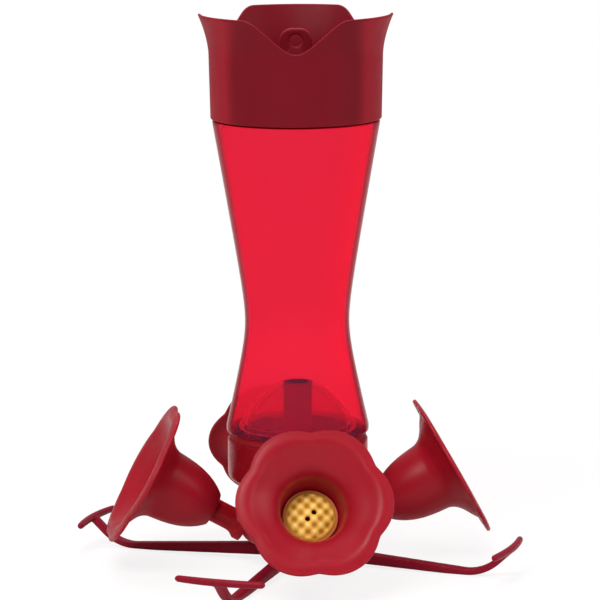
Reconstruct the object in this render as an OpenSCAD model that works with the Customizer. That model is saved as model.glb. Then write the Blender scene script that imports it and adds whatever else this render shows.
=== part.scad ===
// Hummingbird feeder with a pinched bottle, four flower ports, four perches and a crown-shaped cap.
// Origin: centre of the footprint, on the surface it stands on. +Z up, one flower towards -Y.

/* [Bottle] */
// Height of the bottle body, from its foot to its shoulder
bottle_body_h = 113.1; // [95:0.1:140]
// Outer radius of the bottle at its shoulder
shoulder_r = 29.9; // [24.5:0.1:36]
// Outer radius of the bottle at its pinched waist
waist_r = 18.8; // [15:0.1:23]
// Outer radius of the bottle at its foot
foot_r = 25.7; // [21:0.1:31]
// Height of the waist above the foot
waist_h = 40.3; // [32:0.1:50]
// Height of the straight band round the foot
foot_band_h = 2.3; // [1.5:0.1:4]
// Roundness of the waist above its narrowest place
waist_soft_up = 1.6; // [1:0.1:4]
// Roundness of the waist below its narrowest place
waist_soft_down = 2.3; // [1:0.1:4]
// Wall thickness of the bottle
bottle_wall = 2; // [1.4:0.1:2.6]
// Width of the ledge between the shoulder edge and the top neck
shoulder_ledge = 7.9; // [6:0.1:10]
// Height of the top neck
neck_h = 14.7; // [11:0.1:19]
// Width of the ledge between the foot edge and the lower neck
foot_ledge = 2.7; // [2:0.1:3.4]
// Height of the lower neck
lower_neck_h = 11.2; // [9:0.1:14]
// Wall thickness of both necks
neck_wall = 1.6; // [1.2:0.1:2]

/* [Base] */
// Height of the hub, from its underside to its rim
hub_h = 38.2; // [31:0.1:46]
// Wall thickness of the hub's bowl
hub_wall = 1.8; // [1.2:0.1:2.4]
// Thickness of the hub's floor
hub_floor = 2.5; // [1.8:0.1:3.5]
// Wall thickness of the collar that takes the bottle's lower neck
collar_wall = 1.5; // [1.2:0.1:2]
// How far the collar stands out from the bowl
collar_step = 3.8; // [3.4:0.1:4.6]
// Radius of the hub's flat underside
hub_base_r = 16; // [13:0.1:19.5]
// Thread room between a neck and the wall round it
thread_gap = 0.8; // [0.5:0.05:1.1]
// Thickness of the seal between the foot and the hub's rim
foot_seal_t = 2.5; // [1.8:0.1:3.2]
// Gap left below the lower neck, above the hub's inner ledge
neck_end_gap = 1.5; // [1:0.1:2]
// Height of the bearing boss that stands inside the hub
bearing_h = 8; // [6:0.1:10]

/* [Valve] */
// Wall thickness of the dome
dome_wall = 1.2; // [0.9:0.1:1.5]
// Height of the domed part above its straight skirt
dome_h = 16.75; // [13:0.05:20]
// Height of the dome's skirt above the bottle's foot
dome_skirt_up = 2.3; // [1.9:0.05:2.8]
// How far the dome's skirt is drawn in between its two rims
skirt_step = 1.8; // [1.5:0.1:2.1]
// Outer radius of the tube in the middle of the rotor
tube_r = 5.2; // [4.7:0.1:6.2]
// Wall thickness of the tube
tube_wall = 1.4; // [1.1:0.1:1.7]
// Radius of the rotor's shaft
shaft_r = 4; // [3.6:0.05:4.6]
// Width of the square end of the shaft that drives the perches
drive_w = 5; // [4.2:0.1:5.4]
// Depth of the rotor's cup
rotor_cup_h = 6; // [5:0.1:7]
// Width of each flow slot
slot_w = 10; // [8:0.1:12]
// Radius of the O-ring's section
ring_section_r = 0.6; // [0.5:0.02:0.72]
// Height of the O-ring above the hub's floor
ring_up = 3.2; // [2.7:0.1:3.8]

/* [Perches] */
// Turn of the perches, clockwise from the flowers, seen from above
perch_turn = 26; // [15:1:40]
// Height of the perch boss's underside above the ground
boss_up = 1.6; // [1.3:0.05:1.9]
// Height of the perch boss
boss_h = 6.1; // [5.1:0.1:7.2]
// Radius of the perch boss
boss_r = 11; // [9.2:0.1:13]
// Height of each arm where it leaves the boss
arm_root_h = 5; // [4.2:0.1:5.9]
// Thickness of each arm past its bend
arm_t = 2.5; // [2.1:0.1:3]
// Width of each arm
arm_w = 4; // [3.3:0.1:4.8]
// Radius of the bend of each arm
bend_r = 17; // [14:0.1:19]
// Slope of each arm past its bend
arm_slope = 43; // [36:1:50]
// Distance from the axis to the middle of each cross bar
bar_reach = 80.8; // [70:0.1:96]
// Height of the middle of each cross bar above the ground
bar_up = 10.6; // [9:0.1:12.6]
// Length of each cross bar
bar_l = 33.6; // [28:0.1:40]
// Thickness of each cross bar
bar_t = 2.8; // [2.4:0.1:3.3]

/* [Flowers] */
// Upward tilt of each flower's axis
flower_tilt = 29; // [24:1:34]
// Height of each stem's axis above the hub's underside, where it leaves the bowl
stem_up = 6.9; // [6:0.1:8.2]
// Length of each stem, from the bowl to the back of its flower
stem_l = 11; // [9.2:0.1:13]
// Outer radius of the stems
stem_r = 4.3; // [3.7:0.1:5.1]
// Wall thickness of the stems
stem_wall = 1.5; // [1.2:0.1:1.8]
// Depth of a flower, from its back to the plane of its rim
flower_l = 29.5; // [26:0.1:35]
// Outer radius of a flower's petals
petal_r = 27.4; // [23:0.1:31]
// How far each round petal's centre lies from the flower's axis
petal_shift = 11.5; // [9.6:0.1:13.6]
// Wall thickness of a flower
flower_wall = 1.3; // [1:0.05:1.6]
// Length of the trumpet-shaped part of a flower
trumpet_l = 9.5; // [8:0.1:11.3]

/* [Bee guards] */
// Radius of a guard's flange
guard_r = 9.8; // [8:0.05:11.8]
// Room between the guard's flange and the flower's throat
throat_room = 1.8; // [1.4:0.1:2.2]
// Height of the guard's seat above the back of the flower
seat_up = 10; // [9.5:0.1:12]
// Thickness of the guard's flange
guard_flange_t = 1; // [0.8:0.05:1.2]
// How far the guard's dome rises above its flange
guard_rise = 2.4; // [2:0.1:2.9]
// Wall thickness of the guard
guard_wall = 1.3; // [1.1:0.05:1.6]
// Width of the guard's flange outside its plug
guard_lip = 1.1; // [1:0.05:1.3]
// Length of the guard's plug
guard_plug_l = 3; // [2.5:0.1:3.6]
// Room left between the plug's end and the floor of the flower
plug_room = 1; // [0.8:0.1:1.3]
// Distance between neighbouring pits of the guard's square lattice
pit_pitch = 3.35; // [3:0.05:3.8]
// Radius of a pit
pit_r = 0.9; // [0.6:0.05:1.1]
// Depth of a pit
pit_depth = 0.6; // [0.5:0.05:0.75]
// Radius of the two feeding holes
feed_r = 0.9; // [0.65:0.05:1.1]

/* [Cap] */
// Turn of the crown about the axis, so that a notch faces forward
crown_turn = -6; // [-10:1:10]
// How far the cap's lower edge stands out from the shoulder
cap_overhang = 0.7; // [0.4:0.05:1]
// How far the cap widens up to the crown
cap_taper = 0.5; // [0.3:0.05:0.8]
// Wall thickness of the cap
cap_wall = 1.6; // [1.2:0.1:2]
// Gap between the shoulder and the cap's lower edge
cap_gap = 0.7; // [0.4:0.05:1]
// Thickness of the seal inside the cap
cap_seal_t = 2; // [1.5:0.1:2.5]
// Thickness of the water cup's floor
cap_floor = 2; // [1.6:0.1:2.5]
// Wall thickness of the threaded sleeve inside the cap
sleeve_wall = 1.8; // [1.4:0.1:2.2]
// Depth of the water cup, from its floor to the top of the petals
cup_h = 19.5; // [16.5:0.1:23]
// Height above the cup's floor at which the crown starts to flare
flare_up = 4.5; // [3.7:0.1:5.4]
// Flare of the crown at the top of its petals
crown_flare = 3.9; // [3.2:0.1:4.6]
// Depth of the notches between the petals
notch_depth = 12.3; // [10.5:0.1:13.5]
// Half width of a notch at the top, as an angle
notch_half = 29; // [24:1:34]
// Width of the hanging eye
eye_w = 11.6; // [10:0.1:13.4]
// Thickness of the hanging eye
eye_t = 3.6; // [3:0.1:4.3]
// Radius of the hole in the hanging eye
eye_hole_r = 2.3; // [1.95:0.05:2.7]
// Material of the hanging eye above its hole
eye_over = 2.1; // [1.8:0.1:2.5]
// Height of the eye's hole above the cup's floor
eye_up = 9.5; // [8:0.1:11]

/* [Small fasteners] */
// Radius of the screw's shank
screw_r = 1.2; // [1:0.05:1.45]
// Length of the screw's shank
screw_l = 9; // [7.5:0.1:10.7]
// Radius of the screw's head
screw_head_r = 3; // [2.5:0.05:3.6]
// Height of the screw's head
screw_head_h = 1.5; // [1.2:0.05:1.8]
// Radius of the washer
washer_r = 4.6; // [4.1:0.05:5.4]
// Thickness of the washer
washer_t = 0.8; // [0.65:0.05:1]

/* [Fits] */
// Clearance between pieces that turn or lift past each other
body_gap = 0.3; // [0.25:0.01:0.35]
// Radial clearance of the shaft in its bearing
running_gap = 0.05; // [0.04:0.005:0.06]
// Clearance of pieces that are pushed together
push_gap = 0.05; // [0.04:0.005:0.06]
// Clearance of the bee guard's plug in the flower
plug_gap = 0.1; // [0.08:0.01:0.12]

/* [Hidden] */
$fn = 96;

// Directions of the four flowers, seen from above
FRONT = -90;
RIGHT = 0;
BACK = 90;
LEFT = 180;
SIDES = [FRONT, RIGHT, BACK, LEFT];
crown_petals = 3;
flower_petals = 6;
sector = 360 / crown_petals;
curve_steps = 10;
edge_round = 0.6;
bowl_round_h = 9;
cut = 0.5;

// Heights, from the ground up
hub_z = boss_up + boss_h + body_gap;
hub_top = hub_z + hub_h;
floor_z = hub_z + hub_floor;
foot_z = hub_top + foot_seal_t;
lower_neck_z = foot_z - lower_neck_h;
ledge_z = lower_neck_z - neck_end_gap;
shoulder_z = foot_z + bottle_body_h;
neck_top = shoulder_z + neck_h;
cap_floor_z = neck_top + cap_seal_t;
cup_z = cap_floor_z + cap_floor;
cap_z = shoulder_z + cap_gap;
crown_z = cup_z + flare_up;
petal_z = cup_z + cup_h;

// Radii of the pieces that sit in each other
neck_r = shoulder_r - shoulder_ledge;
lower_neck_r = foot_r - foot_ledge;
collar_in_r = lower_neck_r + thread_gap;
collar_r = collar_in_r + collar_wall;
bowl_r = collar_r - collar_step;
bowl_in_r = bowl_r - hub_wall;
dome_r = lower_neck_r - neck_wall - body_gap;
skirt_r = dome_r - skirt_step;
skirt_in_r = skirt_r - dome_wall;
rotor_r = skirt_in_r - body_gap;
bearing_r = shaft_r + running_gap;
sleeve_in_r = neck_r + thread_gap + body_gap;
sleeve_r = sleeve_in_r + sleeve_wall;
cap_r = shoulder_r + cap_overhang;
crown_r = cap_r + cap_taper;
plug_r = guard_r - guard_lip;
guard_depth = flower_l - seat_up;
throat_r = guard_r + throat_room + flower_wall;

function reversed(list) = [for (i = [len(list) - 1 : -1 : 0]) list[i]];

// Point of a cubic curve with four control points, and its direction
function curve_at(c, t) =
    pow(1 - t, 3) * c[0] + 3 * t * pow(1 - t, 2) * c[1] + 3 * t * t * (1 - t) * c[2] + pow(t, 3) * c[3];
function curve_dir(c, t) =
    pow(1 - t, 2) * (c[1] - c[0]) + 2 * t * (1 - t) * (c[2] - c[1]) + t * t * (c[3] - c[2]);

// Points along a cubic curve, moved to its left by inset
function curve(c, inset = 0) = [for (i = [0 : curve_steps])
    let (t = i / curve_steps, d = curve_dir(c, t), left = [-d.y, d.x] / norm(d))
    curve_at(c, t) + inset * left];

module ring(r_in, r_out, z, h) {
    translate([0, 0, z])
        difference() {
            cylinder(r = r_out, h = h);
            translate([0, 0, -cut]) cylinder(r = r_in, h = h + 2 * cut);
        }
}

// Bottle: a pinch above and below the waist, each a hyperbola that ends at the shoulder or the foot
band_z = foot_z + foot_band_h;
waist_z = foot_z + waist_h;
round_z = shoulder_z - 2 * edge_round;

function pinch(d, len, rise, soft) =
    let (slope = sqrt(pow(rise + soft, 2) - soft * soft) / len)
    sqrt(soft * soft + pow(slope * d, 2)) - soft;

function bottle_side(inset, low_z, high_z) = concat(
    [for (i = [curve_steps : -1 : 1])
        let (d = (waist_z - low_z) * i / curve_steps)
        [waist_r - inset + pinch(d, waist_z - band_z, foot_r - waist_r, waist_soft_down), waist_z - d]],
    [for (i = [0 : curve_steps])
        let (d = (high_z - waist_z) * i / curve_steps)
        [waist_r - inset + pinch(d, round_z - waist_z, shoulder_r - waist_r, waist_soft_up), waist_z + d]]);

module bottle() {
    shoulder_round = 2 * edge_round;
    outer = concat(
        [[lower_neck_r - neck_wall, lower_neck_z], [lower_neck_r, lower_neck_z],
            [lower_neck_r, foot_z], [foot_r - edge_round, foot_z], [foot_r, foot_z + edge_round]],
        bottle_side(0, band_z, round_z),
        [for (a = [30 : 30 : 90])
            [shoulder_r - shoulder_round * (1 - cos(a)), round_z + shoulder_round * sin(a)]],
        [[neck_r, shoulder_z], [neck_r, neck_top]]);
    inner = concat(
        [[neck_r - neck_wall, neck_top], [neck_r - neck_wall, shoulder_z - bottle_wall]],
        reversed(bottle_side(bottle_wall, band_z, shoulder_z - bottle_wall)),
        [[lower_neck_r - neck_wall, foot_z]]);
    color([0.90, 0.12, 0.22, 0.8])
        rotate_extrude()
            polygon(concat(outer, inner));
}

module foot_gasket() {
    color([0.36, 0.05, 0.10])
        ring(lower_neck_r + push_gap, collar_r - edge_round, hub_top, foot_seal_t);
}

// Ports: each flower's own frame has its origin in the middle of the rim and +Z out of the flower
reach = stem_l + flower_l;
rim_r = bowl_r + reach * cos(flower_tilt);
rim_z = hub_z + stem_up + reach * sin(flower_tilt);
socket_l = seat_up - guard_plug_l - plug_room;

module at_port(side) {
    translate([rim_r * cos(side), rim_r * sin(side), rim_z])
        rotate([0, 90 - flower_tilt, side])
            children();
}

// A bar along the port's axis, between two depths behind the rim
module port_bar(r, from_depth, to_depth) {
    translate([0, 0, -to_depth]) cylinder(r = r, h = to_depth - from_depth);
}

module hub_outside() {
    collar_low = ledge_z - hub_wall;
    bowl_side = curve([[hub_base_r, hub_z], [hub_base_r + 4, hub_z + 0.4],
        [bowl_r, hub_z + bowl_round_h / 3], [bowl_r, hub_z + bowl_round_h]]);
    neck_side = curve([[bowl_r, collar_low - collar_step - 2], [bowl_r, collar_low - collar_step + 1],
        [collar_r, collar_low - 4], [collar_r, collar_low]]);
    rotate_extrude()
        polygon(concat([[0, hub_z]], bowl_side, neck_side,
            [[collar_r, hub_top - edge_round], [collar_r - edge_round, hub_top], [0, hub_top]]));
}

module hub_inside() {
    floor_side = curve([[hub_base_r - hub_wall, floor_z], [hub_base_r + 2, floor_z + 0.4],
        [bowl_in_r, floor_z + 2], [bowl_in_r, hub_z + bowl_round_h]]);
    rotate_extrude()
        polygon(concat(
            [[0, hub_top + cut], [0, bearing_top], [bearing_r + hub_wall, bearing_top],
                [bearing_r + hub_wall, floor_z]],
            floor_side,
            [[bowl_in_r, ledge_z], [collar_in_r, ledge_z], [collar_in_r, hub_top + cut]]));
}

module base_hub() {
    stem_end = flower_l - socket_l;
    root = 4;
    color([0.55, 0.10, 0.15, 0.9])
        difference() {
            union() {
                hub_outside();
                for (side = SIDES) at_port(side) port_bar(stem_r, stem_end, reach + root);
            }
            hub_inside();
            translate([0, 0, hub_z - cut]) cylinder(r = bearing_r, h = hub_h);
            for (side = SIDES) at_port(side) port_bar(stem_r - stem_wall, stem_end - cut, reach + root);
        }
}

// Valve: a dome over the hub's mouth, and a rotor under it whose slots open and close the flow
dome_low = foot_z + dome_skirt_up;
dome_hole_r = tube_r + body_gap;
rotor_top = dome_low - body_gap;
cup_floor_t = 1.5;
rotor_cup_z = rotor_top - rotor_cup_h;
slot_z = rotor_cup_z + cup_floor_t + body_gap;

function dome_height(r) = dome_low + dome_h * (1 - pow(r / dome_r, 2));
function dome_line(inset) = [for (i = [0 : curve_steps])
    let (r = dome_r + (dome_hole_r - dome_r) * i / curve_steps,
        slope = 2 * dome_h * r / pow(dome_r, 2),
        side = [slope, 1] / norm([slope, 1]))
    [r, dome_height(r)] - inset * side];

module flow_slots(r_in, r_out, high_z) {
    for (side = SIDES)
        rotate([0, 0, side + 45])
            translate([r_in, -slot_w / 2, slot_z])
                cube([r_out - r_in, slot_w, high_z - slot_z]);
}

module valve_dome() {
    rim_low = dome_low - dome_wall;
    under = [for (p = reversed(dome_line(dome_wall))) if (p.y > dome_low) [max(p.x, dome_hole_r), p.y]];
    color([0.75, 0.16, 0.24, 0.6])
        difference() {
            rotate_extrude()
                polygon(concat(
                    [[skirt_in_r, ledge_z], [dome_r, ledge_z], [dome_r, ledge_z + dome_wall],
                        [skirt_r, ledge_z + dome_wall], [skirt_r, rim_low], [dome_r, rim_low]],
                    dome_line(0), under, [[skirt_in_r, dome_low]]));
            flow_slots(skirt_in_r - body_gap / 2, skirt_r + cut, rim_low - body_gap);
        }
}

washer_z = boss_up + screw_head_h + cut;
drive_z = washer_z + washer_t;
boss_top = boss_up + boss_h;
bearing_top = floor_z + bearing_h;
o_ring_z = floor_z + ring_up;
o_ring_r = bearing_r - ring_section_r - push_gap / 5;

module rotor_cup() {
    drain_r = (rotor_r - dome_wall - tube_r) * 0.32;
    difference() {
        translate([0, 0, rotor_cup_z]) cylinder(r = rotor_r, h = rotor_cup_h);
        ring(tube_r, rotor_r - dome_wall, rotor_cup_z + cup_floor_t, rotor_cup_h);
        for (side = SIDES)
            rotate([0, 0, side])
                translate([(tube_r + rotor_r - dome_wall) / 2, 0, rotor_cup_z - cut])
                    cylinder(r = drain_r, h = rotor_cup_h);
        flow_slots(rotor_r - dome_wall - body_gap / 2, rotor_r + cut, rotor_top + cut);
    }
}

module valve_rotor() {
    tube_top = dome_height(dome_hole_r);
    groove_h = 2 * (ring_section_r + push_gap);
    color([0.50, 0.07, 0.13])
        rotate([0, 0, -perch_turn])
            difference() {
                union() {
                    rotor_cup();
                    translate([0, 0, rotor_cup_z]) cylinder(r = tube_r, h = tube_top - rotor_cup_z);
                    translate([0, 0, boss_top]) cylinder(r = shaft_r, h = rotor_cup_z + cut - boss_top);
                    translate([0, 0, bearing_top]) cylinder(r = bearing_r + hub_wall, h = cup_floor_t);
                    translate([-drive_w / 2, -drive_w / 2, drive_z + push_gap])
                        cube([drive_w, drive_w, boss_top + cut - drive_z - push_gap]);
                }
                translate([0, 0, rotor_cup_z + cup_floor_t]) cylinder(r = tube_r - tube_wall, h = tube_top);
                ring(shaft_r - 2 * ring_section_r, shaft_r + cut, o_ring_z - groove_h / 2, groove_h);
                translate([0, 0, drive_z - cut]) cylinder(r = screw_r + push_gap, h = screw_l);
            }
}

module shaft_o_ring() {
    color([0.12, 0.12, 0.13])
        translate([0, 0, o_ring_z])
            rotate_extrude()
                translate([o_ring_r, 0])
                    circle(r = ring_section_r);
}

// Perches: four arms on one boss under the hub, each with a bend and a cross bar that follows a circle
straight_l = (bar_up - arm_t / 2 - bend_r * (1 - cos(arm_slope))) / sin(arm_slope);
bend_start = bar_reach - bend_r * sin(arm_slope) - straight_l * cos(arm_slope);
foot_flat = 8;
bar_end_bead = 0.15;

module arm() {
    bend_steps = 5;
    inside = boss_r - 2;
    along = [cos(arm_slope), sin(arm_slope)];
    across = [-along.y, along.x];
    tip = [bar_reach, bar_up];
    middle = [bend_start, arm_t / 2 + bend_r];
    function bend(r) = [for (i = [0 : bend_steps])
        let (a = arm_slope * i / bend_steps) middle + r * [sin(a), -cos(a)]];
    rotate([90, 0, 0])
        linear_extrude(height = arm_w, center = true)
            polygon(concat(
                [[inside, boss_up], [boss_r, boss_up], [bend_start - foot_flat, 0]],
                bend(bend_r + arm_t / 2),
                [tip - across * arm_t / 2, tip + across * arm_t / 2],
                reversed(bend(bend_r - arm_t / 2)),
                [[boss_r, boss_up + arm_root_h], [inside, boss_up + arm_root_h]]));
}

module cross_bar() {
    half = (bar_l - bar_t) / bar_reach * 90 / PI;
    translate([0, 0, bar_up])
        rotate([0, 0, -half])
            rotate_extrude(angle = 2 * half)
                translate([bar_reach, 0]) circle(r = bar_t / 2);
    for (end = [-half, half])
        rotate([0, 0, end])
            translate([bar_reach, 0, bar_up]) sphere(r = bar_t / 2 + bar_end_bead);
}

module perch_spider() {
    hole_w = drive_w + 2 * push_gap;
    color([0.40, 0.05, 0.11])
        rotate([0, 0, -perch_turn])
            difference() {
                union() {
                    translate([0, 0, boss_up]) cylinder(r = boss_r, h = boss_h);
                    for (side = SIDES)
                        rotate([0, 0, side]) {
                            arm();
                            cross_bar();
                        }
                }
                translate([0, 0, boss_up - cut]) cylinder(r = washer_r + body_gap, h = drive_z - boss_up + cut);
                translate([-hole_w / 2, -hole_w / 2, boss_up]) cube([hole_w, hole_w, boss_h + cut]);
            }
}

module perch_washer() {
    color([0.72, 0.72, 0.74])
        ring(screw_r + push_gap, washer_r, washer_z, washer_t);
}

module perch_screw() {
    slot_t = 0.6;
    color([0.72, 0.72, 0.74])
        difference() {
            union() {
                translate([0, 0, washer_z - screw_head_h]) cylinder(r = screw_head_r, h = screw_head_h);
                translate([0, 0, washer_z - cut]) cylinder(r = screw_r, h = screw_l - washer_t);
            }
            for (turn = [0, 90])
                rotate([0, 0, turn])
                    translate([-screw_head_r * 0.6, -slot_t / 2, washer_z - screw_head_h - cut])
                        cube([screw_head_r * 1.2, slot_t, cut + screw_head_h / 2]);
        }
}

// Flower: a bell that opens into a trumpet, cut to a ring of round petals
module flower(side) {
    back_r = stem_r + 1.9;
    bell = [[back_r, -flower_l], [throat_r - 0.9, -flower_l + 6.5],
        [throat_r - 0.5, -trumpet_l - 5.5], [throat_r, -trumpet_l]];
    trumpet = [[throat_r, -trumpet_l], [throat_r + 0.5, -trumpet_l * 0.6],
        [throat_r + 4.1, -2.6 - flower_wall / 2], [petal_r + 0.5, -flower_wall / 2]];
    plug_floor = flower_l - socket_l;
    color([0.62, 0.11, 0.17, 0.9])
        at_port(side)
            difference() {
                intersection() {
                    rotate_extrude()
                        polygon(concat([[0, -flower_l]], curve(bell), curve(trumpet),
                            reversed(curve(trumpet, flower_wall)),
                            [[guard_r + body_gap + 0.2, -guard_depth],
                                [plug_r + plug_gap, -guard_depth],
                                [plug_r + plug_gap, -plug_floor], [0, -plug_floor]]));
                    translate([0, 0, -flower_l - cut])
                        linear_extrude(height = flower_l + 2 * cut + flower_wall)
                            for (i = [0 : flower_petals - 1])
                                rotate([0, 0, (i + 0.5) * 360 / flower_petals])
                                    translate([petal_shift, 0]) circle(r = petal_r - petal_shift);
                }
                port_bar(stem_r + push_gap, plug_floor - cut, flower_l + cut);
            }
}

module flower_front() { flower(FRONT); }
module flower_right() { flower(RIGHT); }
module flower_back() { flower(BACK); }
module flower_left() { flower(LEFT); }

// Bee guard: a domed cap that drops into the throat, with a lattice of pits round two feeding holes
pit_reach = guard_r - 1.3;
pits = [for (i = [-3 : 2]) for (j = [-3 : 3])
    let (p = [(i + 0.5) * pit_pitch, j * pit_pitch])
    if (norm(p) > pit_pitch && norm(p) < pit_reach) p];
lattice_turn = -45;

module guard(side) {
    flange_top = guard_flange_t - guard_depth;
    ball_r = (pow(guard_r, 2) + pow(guard_rise, 2)) / (2 * guard_rise);
    ball_z = flange_top + guard_rise - ball_r;
    hollow_r = plug_r - guard_wall;
    function arc_z(ball, r) = ball_z + sqrt(ball * ball - r * r);
    function arc(ball, r_from, r_to) = [for (i = [0 : curve_steps])
        let (r = r_from + (r_to - r_from) * i / curve_steps) [r, arc_z(ball, r)]];
    color([0.86, 0.62, 0.22])
        at_port(side)
            difference() {
                rotate_extrude()
                    polygon(concat(
                        [[hollow_r, -guard_depth - guard_plug_l], [plug_r, -guard_depth - guard_plug_l],
                            [plug_r, -guard_depth], [guard_r, -guard_depth]],
                        arc(ball_r, guard_r, 0), arc(ball_r - guard_wall, 0, hollow_r)));
                rotate([0, 0, lattice_turn]) {
                    for (p = pits)
                        translate([p.x, p.y, arc_z(ball_r, norm(p)) - pit_depth])
                            cylinder(r = pit_r, h = guard_rise);
                    for (x = [-1, 1])
                        translate([x * pit_pitch / 2, 0, -guard_depth])
                            cylinder(r = feed_r, h = guard_depth);
                }
            }
}

module guard_front() { guard(FRONT); }
module guard_right() { guard(RIGHT); }
module guard_back() { guard(BACK); }
module guard_left() { guard(LEFT); }

// Cap: a threaded sleeve under a water cup, whose wall opens into a crown of petals
flare_power = 1.7;
notch_soft = 0.25;
wall_columns = 96;
crown_rows = 6;

function notch_side(u) =
    (sqrt(pow(notch_soft, 2) + u * u) - notch_soft) / (sqrt(pow(notch_soft, 2) + 1) - notch_soft);

// Angle from the middle of the nearest petal
function off_petal(a) = abs((a + sector / 2) % sector - sector / 2);

function crown_top(a) = petal_z - notch_depth * (1 - notch_side(min(1, (sector / 2 - a) / notch_half)));

function crown_radius(z) = crown_r + crown_flare * pow((z - crown_z) / (petal_z - crown_z), flare_power);

// Radius and height of the wall's outside at angle a: row 0 is its lower edge, the last its top edge
function wall_row(a, j) =
    j == 0 ? [cap_r, cap_z]
    : let (z = crown_z + (crown_top(a) - crown_z) * (j - 1) / crown_rows) [crown_radius(z), z];

// Points of the cap's wall, row by row, first its outside and then its inside
wall_rows = crown_rows + 2;
function wall_points() = [for (side = [0, 1]) for (j = [0 : wall_rows - 1]) for (i = [0 : wall_columns - 1])
    let (a = i * 360 / wall_columns,
        edge = wall_row(off_petal(a), j),
        r = edge.x - side * cap_wall * (1 - 0.3 * max(0, j - 1) / crown_rows))
    [r * cos(a), r * sin(a), edge.y]];

// Two triangles for each step between two rows that start at points a and b
function strip(a, b) = [for (i = [0 : wall_columns - 1])
    let (n = (i + 1) % wall_columns)
    each [[a + i, b + i, b + n], [a + i, b + n, a + n]]];

module crown_wall() {
    function row(side, j) = (side * wall_rows + j) * wall_columns;
    top = wall_rows - 1;
    faces = concat(
        [for (j = [0 : top - 1]) each strip(row(0, j), row(0, j + 1))],
        strip(row(0, top), row(1, top)),
        [for (j = [top - 1 : -1 : 0]) each strip(row(1, j + 1), row(1, j))],
        strip(row(1, 0), row(0, 0)));
    rotate([0, 0, 90]) polyhedron(points = wall_points(), faces = faces, convexity = 6);
}

module hanging_eye() {
    hole_z = cup_z + eye_up;
    round_r = eye_hole_r + eye_over;
    flat = eye_w / 2 - round_r;
    difference() {
        union() {
            for (x = [-flat, flat])
                translate([x, eye_t / 2, hole_z]) rotate([90, 0, 0]) cylinder(r = round_r, h = eye_t);
            translate([-flat, -eye_t / 2, hole_z]) cube([2 * flat, eye_t, round_r]);
            translate([-eye_w / 2, -eye_t / 2, cup_z - cut]) cube([eye_w, eye_t, eye_up + cut]);
        }
        translate([0, eye_t, hole_z]) rotate([90, 0, 0]) cylinder(r = eye_hole_r, h = 2 * eye_t);
    }
}

module cap() {
    sleeve_z = cap_z + 2;
    floor_r = cap_r - cap_wall / 2;
    color([0.47, 0.09, 0.13, 0.95])
        rotate([0, 0, crown_turn]) {
            crown_wall();
            rotate_extrude()
                polygon([[0, cap_floor_z], [sleeve_in_r, cap_floor_z], [sleeve_in_r, sleeve_z],
                    [sleeve_r, sleeve_z], [sleeve_r, cap_floor_z], [floor_r, cap_floor_z],
                    [floor_r, cup_z], [0, cup_z]]);
            hanging_eye();
        }
}

module cap_gasket() {
    color([0.36, 0.05, 0.10])
        ring(neck_r - neck_wall, sleeve_in_r - body_gap, neck_top, cap_seal_t);
}

cap();
cap_gasket();
bottle();
foot_gasket();
base_hub();
valve_dome();
valve_rotor();
shaft_o_ring();
perch_spider();
perch_washer();
perch_screw();
flower_front();
flower_right();
flower_back();
flower_left();
guard_front();
guard_right();
guard_back();
guard_left();
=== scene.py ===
from math import cos, exp, hypot, pi, radians, sin, sqrt, tan, tau

import bmesh
import bpy
from mathutils import Matrix, Vector


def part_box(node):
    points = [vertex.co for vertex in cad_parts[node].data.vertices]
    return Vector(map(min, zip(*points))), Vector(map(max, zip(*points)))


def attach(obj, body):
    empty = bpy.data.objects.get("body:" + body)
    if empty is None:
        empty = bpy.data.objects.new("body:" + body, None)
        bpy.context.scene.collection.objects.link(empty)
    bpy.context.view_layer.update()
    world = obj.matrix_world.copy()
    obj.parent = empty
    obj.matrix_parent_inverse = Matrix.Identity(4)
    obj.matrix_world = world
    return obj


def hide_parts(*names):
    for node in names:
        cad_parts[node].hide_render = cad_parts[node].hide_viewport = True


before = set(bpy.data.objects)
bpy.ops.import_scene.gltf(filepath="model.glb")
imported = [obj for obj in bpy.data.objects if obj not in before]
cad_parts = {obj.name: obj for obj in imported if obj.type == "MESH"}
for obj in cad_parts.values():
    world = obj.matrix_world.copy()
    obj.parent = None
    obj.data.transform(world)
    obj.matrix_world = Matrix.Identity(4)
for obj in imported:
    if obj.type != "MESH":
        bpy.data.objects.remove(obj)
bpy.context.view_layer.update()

MM = 0.001
DOUBLE_DISTANCE = 1e-7

# Millimetres and degrees, most of them as in the solids; PETAL_R is drawn a little larger than there
NECK_R = 22.0
NECK_WALL = 1.6
LOWER_NECK_R = 23.0
SHOULDER_R = 29.9
WAIST_R = 18.8
FOOT_R = 25.7
BOTTLE_WALL = 2.0
WAIST_H = 40.3
FOOT_BAND = 2.3
SOFT_UP = 1.6
SOFT_DOWN = 2.3
SHOULDER_ROUND = 1.2
NECK_H = 14.7
HUB_WALL = 1.8
HUB_FLOOR = 2.5
HUB_BASE_R = 16.0
COLLAR_R = 25.3
COLLAR_WALL = 1.5
BOWL_R = 21.5
BEARING_R = 4.05
BEARING_H = 8.0
DOME_R = 21.1
DOME_WALL = 1.2
DOME_H = 16.75
DOME_SKIRT_UP = 2.3
SKIRT_R = 19.3
BODY_GAP = 0.3
ROTOR_R = 17.8
ROTOR_CUP_H = 6.0
CUP_FLOOR_T = 1.5
TUBE_R = 5.2
TUBE_WALL = 1.4
SHAFT_R = 4.0
RING_UP = 3.2
RING_WIRE_R = 0.6
DRIVE_W = 5.0
SCREW_R = 1.2
SCREW_HOLE_R = 1.25
SCREW_HEAD_R = 3.0
SLOT_W = 10.0
PERCH_TURN = 26.0
BOSS_R = 11.0
ARM_W = 4.0
ARM_ROOT_H = 5.0
ARM_T = 2.5
BEND_R = 17.0
ARM_SLOPE = 43.0
BAR_REACH = 80.8
BAR_UP = 10.6
BAR_L = 33.6
BAR_T = 2.8
FOOT_FLAT = 8.0
FLOWER_TILT = 29.0
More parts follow.
